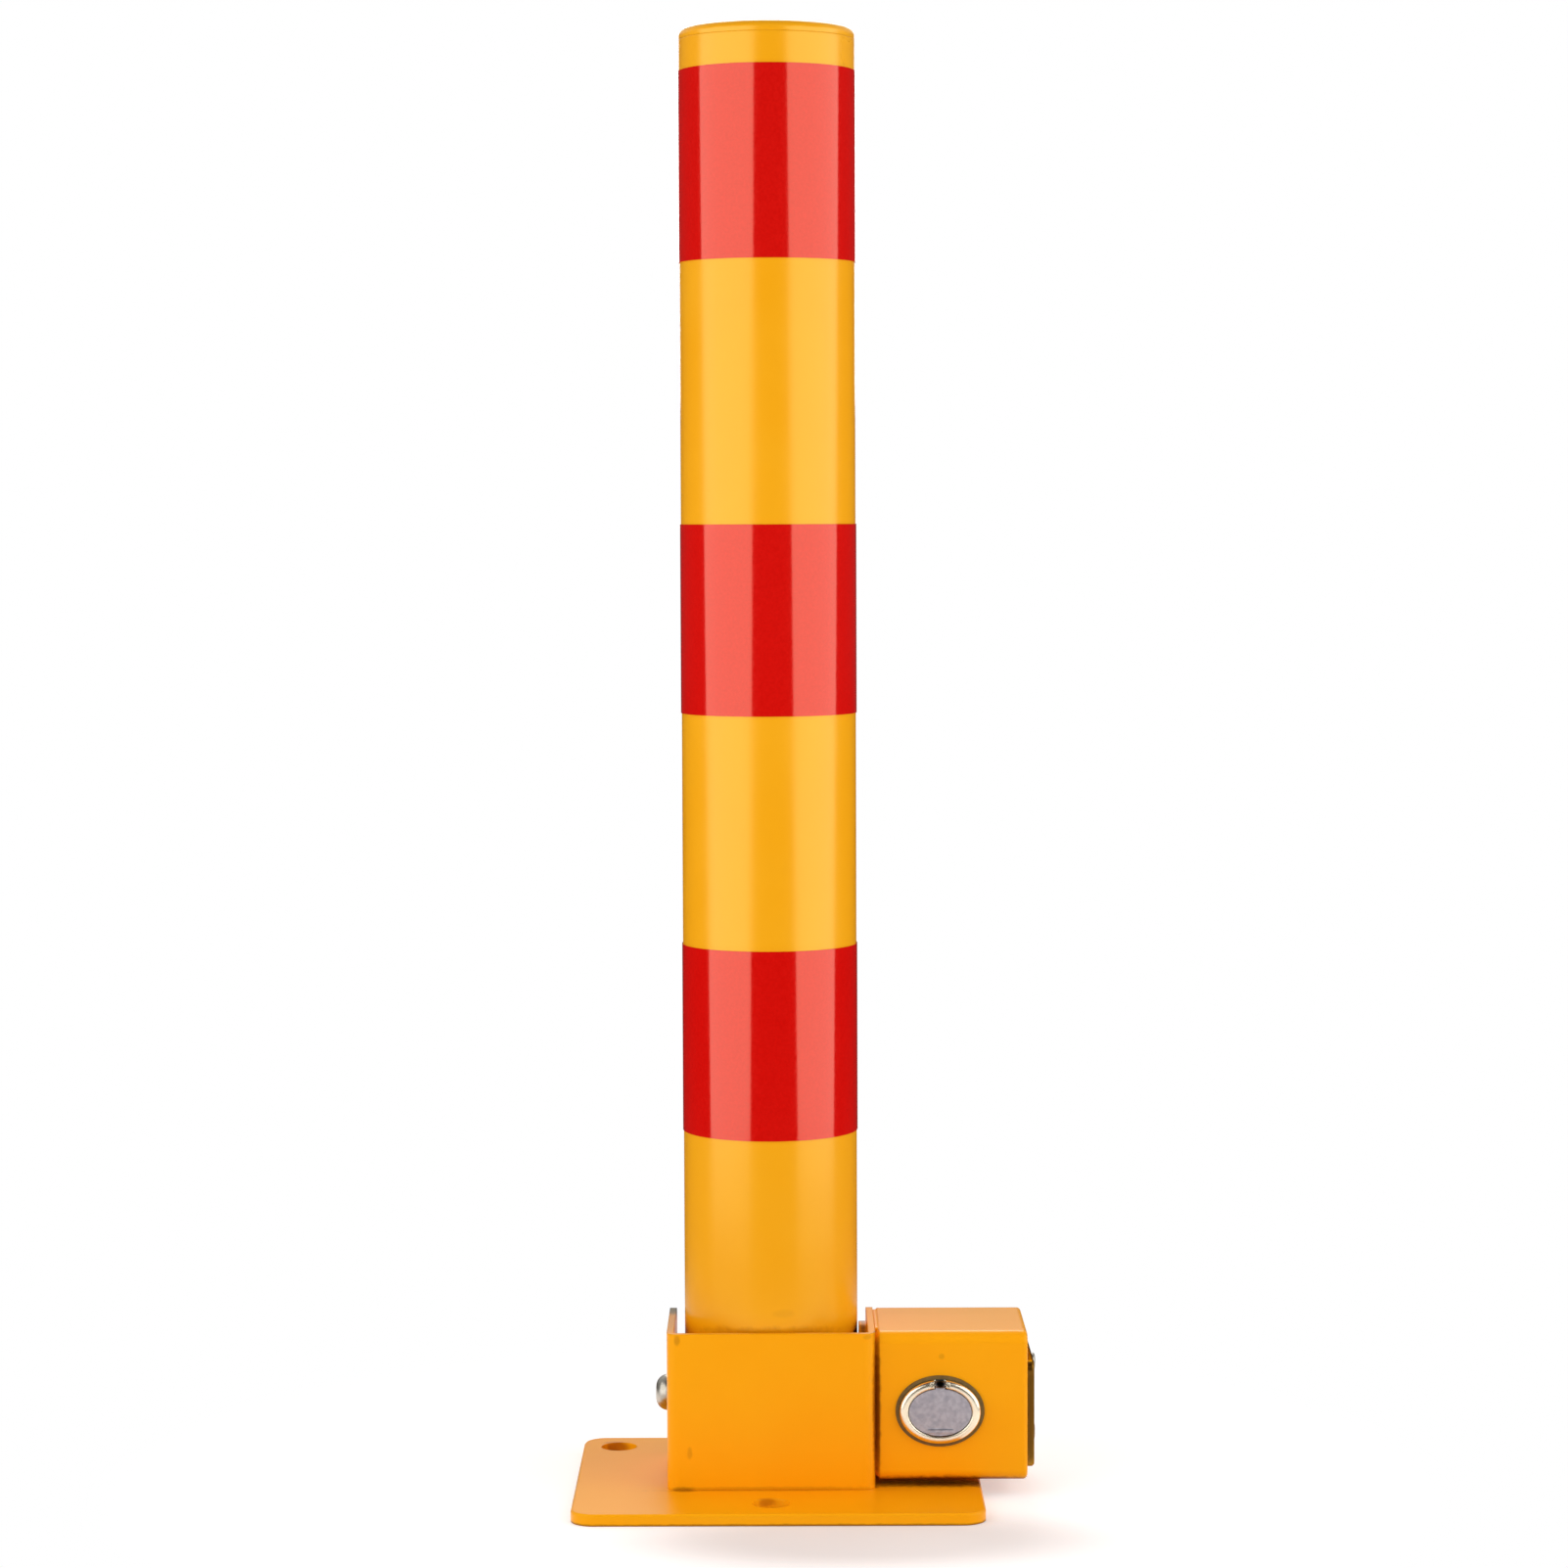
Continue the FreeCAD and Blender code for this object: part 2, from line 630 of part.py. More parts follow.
def make_key_cover_pin():
    body = new_body("key_cover_pin", x=LOCK_X, y=f"-{BOX_FRONT} - flap_pin_out", z=f"{LOCK_Z} + flap_pin_up")
    sketch = new_sketch(body, "YZ_Plane")
    circle(sketch, "0", "0", "flap_pin_dia")
    extrude("Pad", sketch, "flap_pin_long", side="Symmetric")
    return body


def make_key_cover():
    under = f"({RECESS_FLOOR} + cover_under)"
    body = lock_piece("key_cover")
    sketch = new_sketch(body, "XZ_Plane", under)
    oval(sketch, "recess_width - 2 * cover_gap", "recess_height - 2 * cover_gap")
    extrude("Pad", sketch, "flap_thick")
    sketch = new_sketch(body, "XZ_Plane", under)
    rectangle(sketch, "-knuckle_long / 2", "recess_height / 4", "knuckle_long / 2", "flap_pin_up")
    extrude("Pad", sketch, "flap_thick")
    sketch = new_sketch(body, "YZ_Plane")
    circle(sketch, "-flap_pin_out", "flap_pin_up", "knuckle_dia")
    extrude("Pad", sketch, "knuckle_long", side="Symmetric")
    sketch = new_sketch(body, "YZ_Plane")
    circle(sketch, "-flap_pin_out", "flap_pin_up", "flap_pin_dia + 2 * flap_pin_fit")
    extrude("Pocket", sketch, None, side="Symmetric")
    lip_low = "(lip_up - recess_height / 2 + cover_gap)"
    sketch = new_sketch(body, "XZ_Plane", under)
    rectangle(sketch, "-lip_wide / 2", lip_low, "lip_wide / 2", f"{lip_low} + lip_high")
    extrude("Pad", sketch, "flap_thick + lip_out")
    return body


def make_lock_plug():
    body = lock_piece("lock_plug")
    sketch = new_sketch(body, "XZ_Plane", RECESS_FLOOR)
    circle(sketch, "0", "0", "plug_dia")
    extrude("Pad", sketch, f"{RECESS_FLOOR} + {PLUG_REAR}", reverse=True)
    sketch = new_sketch(body, "XZ_Plane", RECESS_FLOOR)
    rectangle(sketch, "-keyway_wide / 2", "-keyway_high / 2", "keyway_wide / 2", "keyway_high / 2")
    extrude("Pocket", sketch, "keyway_deep")
    sketch = new_sketch(body, "XZ_Plane", f"-{PLUG_REAR}")
    circle(sketch, "0", "0", "cam_screw_dia + 2 * thread_gap")
    extrude("Pocket", sketch, "cam_screw_long - cam_thick + thread_gap", reverse=True)
    return body


def make_lock_cam():
    body = lock_piece("lock_cam")
    body.Placement.Rotation = FreeCAD.Rotation(FreeCAD.Vector(0, 1, 0), value("plug_turn / 2"))
    body.setExpression("Placement.Rotation.Angle", bound("plug_turn / 2"))
    arm = "(2 * drive_pin)"
    sketch = new_sketch(body, "XZ_Plane", f"-{PLUG_REAR}")
    circle(sketch, "0", "0", "cam_hub")
    extrude("Pad", sketch, "cam_thick", reverse=True)
    sketch = new_sketch(body, "XZ_Plane", f"-{PLUG_REAR}")
    rectangle(sketch, f"-{arm} / 2", "0", f"{arm} / 2", "cam_radius")
    extrude("Pad", sketch, "cam_thick", reverse=True)
    sketch = new_sketch(body, "XZ_Plane", f"-{PLUG_REAR}")
    circle(sketch, "0", "cam_radius", arm)
    extrude("Pad", sketch, "cam_thick", reverse=True)
    sketch = new_sketch(body, "XZ_Plane", f"-{CAM_REAR}")
    circle(sketch, "0", "cam_radius", "drive_pin")
    extrude("Pad", sketch, PIN_REACH, reverse=True)
    sketch = new_sketch(body, "XZ_Plane")
    circle(sketch, "0", "0", "cam_screw_dia + 2 * thread_gap")
    extrude("Pocket", sketch, None, side="Symmetric")
    return body


def make_cam_screw():
    body = lock_piece("cam_screw")
    sketch = new_sketch(body, "XZ_Plane", f"-{CAM_REAR}")
    circle(sketch, "0", "0", "cam_screw_dia")
    extrude("Pad", sketch, "cam_screw_long")
    sketch = new_sketch(body, "XZ_Plane", f"-{CAM_REAR}")
    circle(sketch, "0", "0", "cam_screw_head")
    extrude("Pad", sketch, "cam_screw_head_high", reverse=True)
    return body


def make_deadbolt():
    half = "(lug_wide / 2)"
    slot = "(drive_pin / 2 + slot_gap)"
    low = f"({SLOT_LOW} - slot_end - bolt_up)"
    body = new_body("deadbolt", y="-bolt_front", z=BOLT_Z)
    sketch = new_sketch(body, "YZ_Plane", BOLT_TIP_X)
    circle(sketch, "0", "0", "bolt_dia")
    extrude("Pad", sketch, f"{BOLT_REAR_X} - {BOLT_TIP_X}")
    dress("Chamfer", body, "bolt_tip", lambda edge, at: near(edge.BoundBox.XMax, BOLT_TIP_X))
    sketch = new_sketch(body, "XZ_Plane")
    rectangle(sketch, f"{LUG_X} - {half}", low, f"{LUG_X} + {half}", "0")
    extrude("Pad", sketch, "lug_thick", side="Symmetric")
    sketch = new_sketch(body, "XZ_Plane")
    rectangle(sketch, f"{LUG_X} - {slot}", f"{low} - slot_end", f"{LUG_X} + {slot}", f"{SLOT_TOP} - bolt_up")
    extrude("Pocket", sketch, None, side="Symmetric")
    return body


pieces = [
    make_base_plate(),
    make_hinge_bracket(),
    make_post_tube(),
    make_post_cap(),
    make_band("reflective_band_top", BAND_TOP_LOW),
    make_band("reflective_band_middle", BAND_MIDDLE_LOW),
    make_band("reflective_band_bottom", BAND_BOTTOM_LOW),
    make_hinge_sleeve(),
    make_hinge_bolt(),
    make_hinge_washer(),
    make_hinge_nut(),
    make_lock_housing(),
    make_cover_tabs(),
    make_end_cover(),
    make_end_cover_screws(),
    make_bolt_guide(),
    make_bolt_collar(),
    make_lock_body(),
    make_lock_gasket(),
    make_lock_nut(),
    make_key_cover_pin(),
    make_key_cover(),
    make_lock_plug(),
    make_lock_cam(),
    make_cam_screw(),
    make_deadbolt(),
]
doc.recompute()

for item in doc.Objects:
    if "Invalid" in item.State or "Error" in item.State:
        raise RuntimeError(f"{item.Label} did not recompute: {item.State}")
for piece in pieces:
    if piece.Shape.isNull() or not piece.Shape.isValid():
        raise RuntimeError(f"{piece.Label} has no valid shape")

os.makedirs("parts", exist_ok=True)
for piece in pieces:
    piece.Shape.exportStep(f"parts/{piece.Label}.step")
    box = piece.Shape.BoundBox
    print(f"{piece.Label}: {len(piece.Shape.Solids)} solids, {piece.Shape.Volume:.0f} mm3, "
          f"x {box.XMin:.2f} to {box.XMax:.2f}, y {box.YMin:.2f} to {box.YMax:.2f}, "
          f"z {box.ZMin:.2f} to {box.ZMax:.2f}")
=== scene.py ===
# %% [markdown]
# # A folding parking post
# The frame is the finished construction: a round post in a hinged bracket, with a key lock beside it.
# Nothing here moves or resizes it. This lesson gives every surface its finish, adds the small things that
# a welder and a fitter leave behind, and sets the object in a plain bright studio.

# %% Load the frame
import math
import bmesh
import bpy
from mathutils import Matrix, Vector


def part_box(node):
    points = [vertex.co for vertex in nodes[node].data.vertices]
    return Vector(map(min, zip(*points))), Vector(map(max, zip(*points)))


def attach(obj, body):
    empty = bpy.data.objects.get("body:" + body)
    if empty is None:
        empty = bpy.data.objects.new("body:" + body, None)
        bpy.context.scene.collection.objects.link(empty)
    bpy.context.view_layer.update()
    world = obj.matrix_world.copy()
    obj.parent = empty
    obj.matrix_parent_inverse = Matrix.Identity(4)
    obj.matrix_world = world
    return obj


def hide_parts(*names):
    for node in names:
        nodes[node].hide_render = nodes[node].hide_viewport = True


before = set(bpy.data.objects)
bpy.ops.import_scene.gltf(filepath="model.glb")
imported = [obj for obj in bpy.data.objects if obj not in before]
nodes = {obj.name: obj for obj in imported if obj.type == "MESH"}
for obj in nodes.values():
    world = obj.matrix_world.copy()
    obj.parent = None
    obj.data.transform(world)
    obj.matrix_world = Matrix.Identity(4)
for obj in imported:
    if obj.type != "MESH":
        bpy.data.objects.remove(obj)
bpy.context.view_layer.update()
# Blender works in metres
MM = 0.001

# %% [markdown]
# ## The camera
# The photograph was taken from straight in front with a long lens, which stood a little above the middle of
# the post and looked slightly down. The curved edges of the bands give the height of the lens, because a
# band at eye level looks straight. Tilting the camera is enough to frame the post, so the lens needs no
# shift. The camera was held a hair off level, which a small roll about its own axis repeats.

# %% Place the camera
LENS_MM = 92.85
SENSOR_MM = 36.0
LENS_PLACE = (6.5 * MM, -1764 * MM, 426 * MM)
LENS_TILT = math.radians(86.16)
LENS_ROLL = math.radians(-0.2)

camera_data = bpy.data.cameras.new("studio_camera")
camera_data.lens = LENS_MM
camera_data.sensor_width = SENSOR_MM
camera = bpy.data.objects.new("studio_camera", camera_data)
camera.location = LENS_PLACE
aim = Matrix.Rotation(LENS_TILT, 3, "X") @ Matrix.Rotation(LENS_ROLL, 3, "Z")
camera.rotation_euler = aim.to_euler()
bpy.context.scene.collection.objects.link(camera)
bpy.context.scene.camera = camera
bpy.context.scene.view_settings.view_transform = "Standard"
print("camera is", round(-LENS_PLACE[1], 3), "m in front of the post")

# %% [markdown]
# ## Helpers for colours and nodes
# Colours are written as they look on a screen, in hex, and a shader wants them linear.
# One function adds a node, sets its properties and fills its inputs with numbers or links,
# so that each finish below reads as a list of what is in it. Each starts from a material with no nodes.


# %% Define the helpers
def srgb(code):
    """Linear colour, with full alpha, of a hex code such as #ffcc00."""
    parts = [int(code[i:i + 2], 16) / 255 for i in (1, 3, 5)]
    linear = [c / 12.92 if c <= 0.04045 else ((c + 0.055) / 1.055) ** 2.4 for c in parts]
    return (*linear, 1.0)


def add_node(owner, kind, inputs=None, **settings):
    """Adds one node to a material or the world; an input is a value or another node's output."""
    tree = owner.node_tree
    node = tree.nodes.new("ShaderNode" + kind)
    for name, setting in settings.items():
        setattr(node, name, setting)
    for socket, source in (inputs or {}).items():
        if isinstance(source, bpy.types.NodeSocket):
            tree.links.new(source, node.inputs[socket])
        else:
            node.inputs[socket].default_value = source
    return node


def empty_material(name):
    """Material that has no nodes yet."""
    material = bpy.data.materials.new(name)
    material.use_nodes = True
    material.node_tree.nodes.clear()
    return material


WHITE = srgb("#ffffff")
print("mid grey #808080 is", round(srgb("#808080")[0], 3), "in linear light")

# %% [markdown]
# ## The soft boxes
# The long pale stripes on the post are the reflections of two tall soft boxes, one on each side.
# Where a stripe starts and ends on the round post gives the directions in which its box starts and ends:
# a mirror turns by half of what the reflection turns. The stripes draw in towards the foot, so a box is a
# sheet that is narrower at the floor than at its top. An area lamp can't have that shape, so the sheet is a
# plane with its corners moved, and it glows on the side that faces the post. How far down the stripes reach
# gives its distance, because lower down the post mirrors the floor.

# %% Make the cloth of the soft boxes
BOX_RADIANCE = 1.95

glowing_cloth = empty_material("soft_box_cloth")
away = add_node(glowing_cloth, "NewGeometry").outputs["Backfacing"]
one_sided = add_node(glowing_cloth, "MapRange", {"Value": away, "To Min": BOX_RADIANCE, "To Max": 0.0})
glow = add_node(glowing_cloth, "Emission", {"Color": WHITE, "Strength": one_sided.outputs[0]})
add_node(glowing_cloth, "OutputMaterial", {"Surface": glow.outputs[0]})
print(glowing_cloth.name, "glows at", BOX_RADIANCE)

# %% Set up the soft boxes
BOX_DISTANCE = 0.82
BOX_TOP = 1.0


def across(direction, middle):
    """How far to the right of a box's middle line this direction, in degrees, meets the box."""
    return BOX_DISTANCE * math.tan(math.radians(direction - middle))


def soft_box(name, floor_span, top_span):
    """Upright glowing sheet that spans two directions at the floor and two at its top.

    Directions are in degrees, seen from the post: 0 is the camera's, and the lock's side counts up.
    """
    middle = (sum(floor_span) + sum(top_span)) / 4
    turn = math.radians(middle)
    bpy.ops.object.select_all(action="DESELECT")
    bpy.ops.mesh.primitive_plane_add(size=BOX_TOP)
    box = bpy.context.object
    box.name = name
    for corner in box.data.vertices:
        span = top_span if corner.co.y > 0 else floor_span
        side = 1 if corner.co.x > 0 else 0
        corner.co = (across(span[side], middle), 0, corner.co.y + BOX_TOP / 2)
    box.data.flip_normals()
    box.location = (BOX_DISTANCE * math.sin(turn), -BOX_DISTANCE * math.cos(turn), 0)
    box.rotation_euler = (0, 0, turn)
    box.data.materials.append(glowing_cloth)
    box.visible_camera = False
    top_width = across(top_span[1], middle) - across(top_span[0], middle)
    print(name, "is", round(top_width, 2), "m wide at its top")


soft_box("left_soft_box", floor_span=(-83, -26), top_span=(-99, -13))
soft_box("right_soft_box", floor_span=(36, 90), top_span=(23, 109.5))

# %% [markdown]
# ## The lamp behind
# A narrow lamp hangs behind and lights the back, which the photograph doesn't show. It is too narrow for the
# post's rims to mirror it, and too high for the level faces to mirror it to the camera.

# %% Hang the lamp behind
BACK_DISTANCE = 1.05
BACK_WIDE = 0.52
BACK_LOW = 0.5
BACK_HIGH = 1.6
BACK_RADIANCE = 3.4

light = bpy.data.lights.new("back_soft_box", "AREA")
light.shape = "RECTANGLE"
light.size = BACK_WIDE
light.size_y = BACK_HIGH - BACK_LOW
light.energy = BACK_RADIANCE * math.pi * light.size * light.size_y
lamp = bpy.data.objects.new("back_soft_box", light)
lamp.location = (0, BACK_DISTANCE, (BACK_LOW + BACK_HIGH) / 2)
lamp.rotation_euler = (math.pi / 2, 0, math.pi)
lamp.visible_camera = False
bpy.context.scene.collection.objects.link(lamp)
print("back lamp of", round(light.energy), "W")

# %% [markdown]
# ## The white room
# The background is white to the camera and dim to everything else, so it doesn't wash out the colours.
# Shiny surfaces see the dark where the camera stands and a pale wall behind the object, which starts a little
# above the horizon. Level faces mirror that wall at a low angle, which gives them their milky sheen, and the
# post's rims mirror what is below it, so they stay as deep as its colour.

# %% Make the world
FILL_STRENGTH = 0.46
WALL_BEHIND = 0.5
DARK_FRONT = 0.04
# Z of a direction of length 1 where the wall starts and where it is full
WALL_FOOT = 0.13
WALL_FULL = 0.19
# Y of such a direction where the dark front ends and where the wall is full
BEHIND_STARTS = -0.2
BEHIND_FULL = 0.6

world = bpy.data.worlds.new("white_room")
world.use_nodes = True
bpy.context.scene.world = world
world.node_tree.nodes.clear()
ray = add_node(world, "LightPath")
toward = add_node(world, "SeparateXYZ", {0: add_node(world, "TexCoord").outputs["Generated"]})
raised = add_node(world, "MapRange", {
    "Value": toward.outputs["Z"], "From Min": WALL_FOOT, "From Max": WALL_FULL,
    "To Min": DARK_FRONT, "To Max": WALL_BEHIND,
})
wall = add_node(world, "MapRange", {
    "Value": toward.outputs["Y"], "From Min": BEHIND_STARTS, "From Max": BEHIND_FULL,
    "To Min": DARK_FRONT, "To Max": raised.outputs[0],
})
shiny = add_node(world, "Math", {0: ray.outputs["Is Glossy Ray"], 1: ray.outputs["Is Transmission Ray"]},
                 operation="MAXIMUM")
unseen = add_node(world, "Mix", {"Factor": shiny.outputs[0], "A": FILL_STRENGTH, "B": wall.outputs[0]})
strength = add_node(world, "Mix", {"Factor": ray.outputs["Is Camera Ray"], "A": unseen.outputs[0], "B": 1.0})
background = add_node(world, "Background", {"Color": WHITE, "Strength": strength.outputs[0]})
add_node(world, "OutputWorld", {"Surface": background.outputs[0]})
print("world fill", FILL_STRENGTH)

# %% [markdown]
# ## The floor
# A plain pale sheet. Near the post it takes the soft shadow, and further out it fades into the white room,
# so no horizon shows. Part of its brightness is a glow for the camera, which keeps the shadow pale. The glow
# is low in a patch in front of the plate, which paints a soft shadow there, higher elsewhere, and nil under
# the plate, which paints shade under it so that its holes look dark. Shiny surfaces mirror that glow too
# where the sheet is close to the post. Further out it is dim to them, or the post would lose its depth of
# colour.

# %% Lay the floor
FLOOR_HALF = 6.0
FLOOR_DROP = 0.2 * MM

bpy.ops.object.select_all(action="DESELECT")
bpy.ops.mesh.primitive_plane_add(size=2 * FLOOR_HALF, location=(0, 0, -FLOOR_DROP))
floor = bpy.context.object
floor.name = "studio_floor"
bpy.ops.object.transform_apply(location=True, rotation=True, scale=True)
print("floor is", 2 * FLOOR_HALF, "m wide")

# %% Find where the floor glows
GLOW_SHADE = 0.12
GLOW_AROUND = 0.44
SHADE_MIDDLE = (40 * MM, -108 * MM, 0)
SHADE_HALF = (135 * MM, 62 * MM, 1)
SHADE_CORE = 0.35
UNDER_PLATE = 0.95


def from_middle(owner, place, middle, half):
    """How far a place lies from a middle, as a share of the half size along each axis."""
    offset = add_node(owner, "VectorMath", {0: place, 1: middle}, operation="SUBTRACT")
    share = add_node(owner, "VectorMath", {0: offset.outputs[0], 1: half}, operation="DIVIDE")
    return share.outputs[0]


paper = empty_material("white_paper_floor")
place = add_node(paper, "TexCoord").outputs["Object"]
# The glow is lowest in an ellipse in front of the plate: a painted shadow
patch = from_middle(paper, place, SHADE_MIDDLE, SHADE_HALF)
shade = add_node(paper, "VectorMath", {0: patch}, operation="LENGTH")
extra = add_node(paper, "MapRange", {
    "Value": shade.outputs["Value"], "From Min": SHADE_CORE, "From Max": 1.0,
    "To Min": GLOW_SHADE, "To Max": GLOW_AROUND,
}, interpolation_type="SMOOTHSTEP")
# No glow at all under the plate: painted shade under it, seen through its holes
plate_low, plate_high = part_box("base_plate")
on_plate = from_middle(paper, place, (plate_low + plate_high) / 2, (plate_high - plate_low) / 2)
either_side = add_node(paper, "VectorMath", {0: on_plate}, operation="ABSOLUTE")
sides = add_node(paper, "SeparateXYZ", {0: either_side.outputs[0]})
outer = add_node(paper, "Math", {0: sides.outputs["X"], 1: sides.outputs["Y"]}, operation="MAXIMUM")
bare = add_node(paper, "Math", {0: outer.outputs[0], 1: UNDER_PLATE}, operation="GREATER_THAN")
open_glow = add_node(paper, "Math", {0: extra.outputs[0], 1: bare.outputs[0]}, operation="MULTIPLY")
print("the floor's glow is", GLOW_SHADE, "in the shadow and", GLOW_AROUND, "around it")

# %% Finish the floor's paper
PAPER = "#e6dedb"
PAPER_IN_GLOSS = "#403d3b"
# Metres from the post's axis, where the sheet fades to white and where it dims in reflections
FADE_STARTS = 0.14
FADE_ENDS = 0.3
DIM_STARTS = 0.28
DIM_ENDS = 0.5

ray = add_node(paper, "LightPath")
seen = ray.outputs["Is Camera Ray"]
mirrored = ray.outputs["Is Glossy Ray"]
reach = add_node(paper, "VectorMath", {0: place}, operation="LENGTH").outputs["Value"]
distant = add_node(paper, "MapRange", {"Value": reach, "From Min": DIM_STARTS, "From Max": DIM_ENDS})
dimmed = add_node(paper, "Math", {0: distant.outputs[0], 1: mirrored}, operation="MULTIPLY")
mirrored_near = add_node(paper, "Math", {0: mirrored, 1: dimmed.outputs[0]}, operation="SUBTRACT")
lookers = add_node(paper, "Math", {0: seen, 1: mirrored_near.outputs[0]}, operation="MAXIMUM")
glow = add_node(paper, "Math", {0: lookers.outputs[0], 1: open_glow.outputs[0]}, operation="MULTIPLY")
sheet = add_node(paper, "MixRGB", {
    "Fac": dimmed.outputs[0], "Color1": srgb(PAPER), "Color2": srgb(PAPER_IN_GLOSS),
})
lit = add_node(paper, "BsdfDiffuse", {"Color": sheet.outputs[0]})
haze = add_node(paper, "Emission", {"Color": WHITE, "Strength": glow.outputs[0]})
near_floor = add_node(paper, "AddShader", {0: lit.outputs[0], 1: haze.outputs[0]})
far_floor = add_node(paper, "Emission", {"Color": WHITE, "Strength": 1.0})
far = add_node(paper, "MapRange", {"Value": reach, "From Min": FADE_STARTS, "From Max": FADE_ENDS},
               interpolation_type="SMOOTHSTEP")
seen_far = add_node(paper, "Math", {0: far.outputs[0], 1: seen}, operation="MULTIPLY")
both = add_node(paper, "MixShader", {
    0: seen_far.outputs[0], 1: near_floor.outputs[0], 2: far_floor.outputs[0],
})
add_node(paper, "OutputMaterial", {"Surface": both.outputs[0]})
floor.data.materials.append(paper)
print("made", paper.name)

# %% [markdown]
# ## Marks and painted shade on a surface
# Some blots are marks, where a coat was rubbed or chipped or where dirt has settled. Others are painted shade
# in gaps, creases, hollows and under edges, and one is a painted highlight. An image could hold them, but a
# soft blot at a place on the object needs no unwrapping: its colour covers the coat's inside a ragged
# ellipsoid and fades out towards the ellipsoid's surface.

# %% Define the surface, its marks and its painted shade
BLOT_GRAIN_MM = 3.0
BLOT_RAGGED = 0.12
BLOT_CORE = 0.4
# Nearly all of a noise pattern lies between these two values
NOISE_LOW = 0.3
NOISE_HIGH = 0.7


def per_metre(size_mm):
    """Scale of a pattern whose features are this many millimetres apart."""
    return 1 / (size_mm * MM)


def surface(material, inputs):
    """Ends a material with its surface shader, which gets these inputs."""
    shader = add_node(material, "BsdfPrincipled", inputs)
    add_node(material, "OutputMaterial", {"Surface": shader.outputs[0]})
    print("made", material.name)
    return material


def blotted(material, colour, blots):
    """Colour with soft blots over it, each a middle and half sizes in mm, a strength and a colour."""
    place = add_node(material, "TexCoord").outputs["Object"]
    grain = add_node(material, "TexNoise", {
        "Vector": place, "Scale": per_metre(BLOT_GRAIN_MM), "Detail": 2.0,
    })
    ragged = add_node(material, "MapRange", {
        "Value": grain.outputs["Fac"], "From Min": NOISE_LOW, "From Max": NOISE_HIGH,
        "To Min": 1 - BLOT_RAGGED, "To Max": 1 + BLOT_RAGGED,
    })
    for middle, half, strength, blot_colour in blots:
        share = from_middle(material, place, Vector(middle) * MM, Vector(half) * MM)
        reach = add_node(material, "VectorMath", {0: share}, operation="LENGTH").outputs["Value"]
        torn = add_node(material, "Math", {0: reach, 1: ragged.outputs[0]}, operation="MULTIPLY")
        cover = add_node(material, "MapRange", {
            "Value": torn.outputs[0], "From Min": BLOT_CORE, "From Max": 1.0,
            "To Min": strength, "To Max": 0.0,
        }, interpolation_type="SMOOTHSTEP")
        colour = add_node(material, "MixRGB", {
            "Fac": cover.outputs[0], "Color1": colour, "Color2": srgb(blot_colour),
        }).outputs[0]
    return colour


print("marks have a grain of", BLOT_GRAIN_MM, "mm")

# %% [markdown]
# ## Powder coat
# Steel street furniture is sprayed with dry polyester powder that melts in an oven. It flows into a hard
# gloss skin with a faint orange peel, a couple of millimetres from bump to bump, and its thickness drifts, so
# the colour clouds a little over a hand's width. The skin rounds every edge a little. The post is a shade
# yellower and glossier than the foot, which was coated apart from it.

# %% Define the powder coat
PEEL_MM = 2.4
PEEL_DEPTH_MM = 0.012
PEEL_STRENGTH = 0.25
CLOUD_MM = 70
COAT_EDGE_MM = 0.7
EDGE_SAMPLES = 6
# A colour passes from one tone to the other between these two values of its noise
TONE_LOW = 0.35
TONE_HIGH = 0.65


def powder_coat(name, colour, cloud_colour, roughness, specular, shine, blots):
    """Sprayed and baked polyester: clouded colour, orange peel, uneven gloss, rounded edges, marks, and
    painted shade and highlights.
    """
    material = empty_material(name)
    place = add_node(material, "TexCoord").outputs["Object"]
    cloud = add_node(material, "TexNoise", {"Vector": place, "Scale": per_metre(CLOUD_MM), "Detail": 3.0})
    peel = add_node(material, "TexNoise", {"Vector": place, "Scale": per_metre(PEEL_MM), "Detail": 1.0})
    tone = add_node(material, "MapRange", {
        "Value": cloud.outputs["Fac"], "From Min": TONE_LOW, "From Max": TONE_HIGH,
    })
    paint = add_node(material, "MixRGB", {
        "Fac": tone.outputs[0], "Color1": srgb(colour), "Color2": srgb(cloud_colour),
    })
    gloss = add_node(material, "MapRange", {
        "Value": cloud.outputs["Fac"], "From Min": NOISE_LOW, "From Max": NOISE_HIGH,
        "To Min": roughness[0], "To Max": roughness[1],
    })
    edge = add_node(material, "Bevel", {"Radius": COAT_EDGE_MM * MM}, samples=EDGE_SAMPLES)
    bump = add_node(material, "Bump", {
        "Height": peel.outputs["Fac"], "Distance": PEEL_DEPTH_MM * MM, "Strength": PEEL_STRENGTH,
        "Normal": edge.outputs[0],
    })
    return surface(material, {
        "Base Color": blotted(material, paint.outputs[0], blots),
        "Roughness": gloss.outputs[0],
        "Normal": bump.outputs[0],
        "Specular IOR Level": specular,
        "Specular Tint": srgb(shine),
    })


print("orange peel has a bump every", PEEL_MM, "mm")

# %% Coat the post
POST_BLOTS = [
    # Painted shade round the foot, where it stands in the bracket, and a scuff above it
    ((0, -38, 70), (48, 26, 6), 0.55, "#b06000"),
    ((6, -38, 81), (7, 4, 2.5), 0.16, "#c98208"),
    # Painted shade in the gaps beside the left and the right cheek
    ((-37.5, 0, 65), (5, 15, 6), 0.8, "#4a2204"),
    ((37.5, 0, 65), (5, 15, 6), 0.8, "#4a1404"),
]
post_coat = powder_coat("powder_coat_post_yellow", "#fbaa06", "#fcae0c", roughness=(0.2, 0.28), specular=1.0,
                        shine="#ffffaa", blots=POST_BLOTS)

